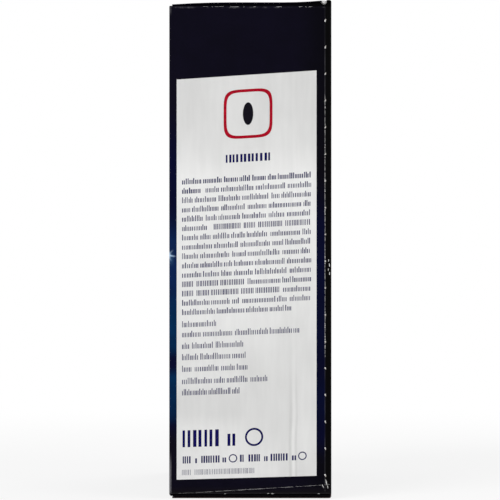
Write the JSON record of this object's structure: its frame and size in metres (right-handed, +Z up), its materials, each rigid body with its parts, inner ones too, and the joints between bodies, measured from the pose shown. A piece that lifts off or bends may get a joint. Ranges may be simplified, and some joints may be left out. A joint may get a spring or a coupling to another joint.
{
  "type": "dishwasher tablet carton",
  "caption": "Tall sealed folding carton with rounded folds, bowed panels, a lapped glue seam, stacked glued flaps at both ends and a pale information field on one narrow side.",
  "frame": {"origin": "on the floor under the middle of the box", "axes": "+Z up, -Y out of the narrow panel with the pale printed field, +X towards the broad panel on that panel's right"},
  "size_m": [0.0792, 0.151, 0.24],
  "materials": {
    "printed_board": "coated boxboard printed near-black navy, satin",
    "information_field": "off-white printed field, matt varnish",
    "field_ink": "dark blue ink on the off-white field",
    "bare_fibre": "torn and rubbed white board fibre"
  },
  "bodies": {
    "root": {"carton": "printed_board"}
  },
  "joints": []
}
